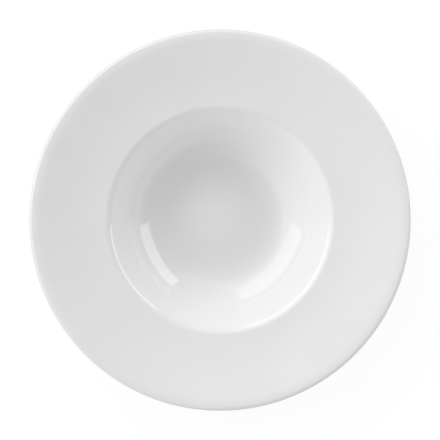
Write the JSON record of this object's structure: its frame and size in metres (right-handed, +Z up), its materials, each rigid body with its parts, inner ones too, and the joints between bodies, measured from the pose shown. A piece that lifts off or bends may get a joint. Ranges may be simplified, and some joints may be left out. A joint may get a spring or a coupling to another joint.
{
  "type": "pasta bowl",
  "caption": "Wide-rim porcelain pasta bowl: a round well with a crowned floor in a shallow dish, a broad rising rim with an eased lip, and a low foot ring to stand on.",
  "frame": {"origin": "centre of the circle that the foot ring stands on, at the level of the surface under it", "axes": "+Z up along the bowl's axis of revolution; X and Y are any two level directions, because the bowl is round"},
  "size_m": [0.28, 0.28, 0.054],
  "materials": {
    "bisque": "matt unglazed porcelain, bare only on the foot ring",
    "glaze": "gloss white glaze"
  },
  "bodies": {
    "root": {"porcelain_body": "bisque", "glaze_coat": "glaze", "recess_glaze": "glaze"}
  },
  "joints": []
}
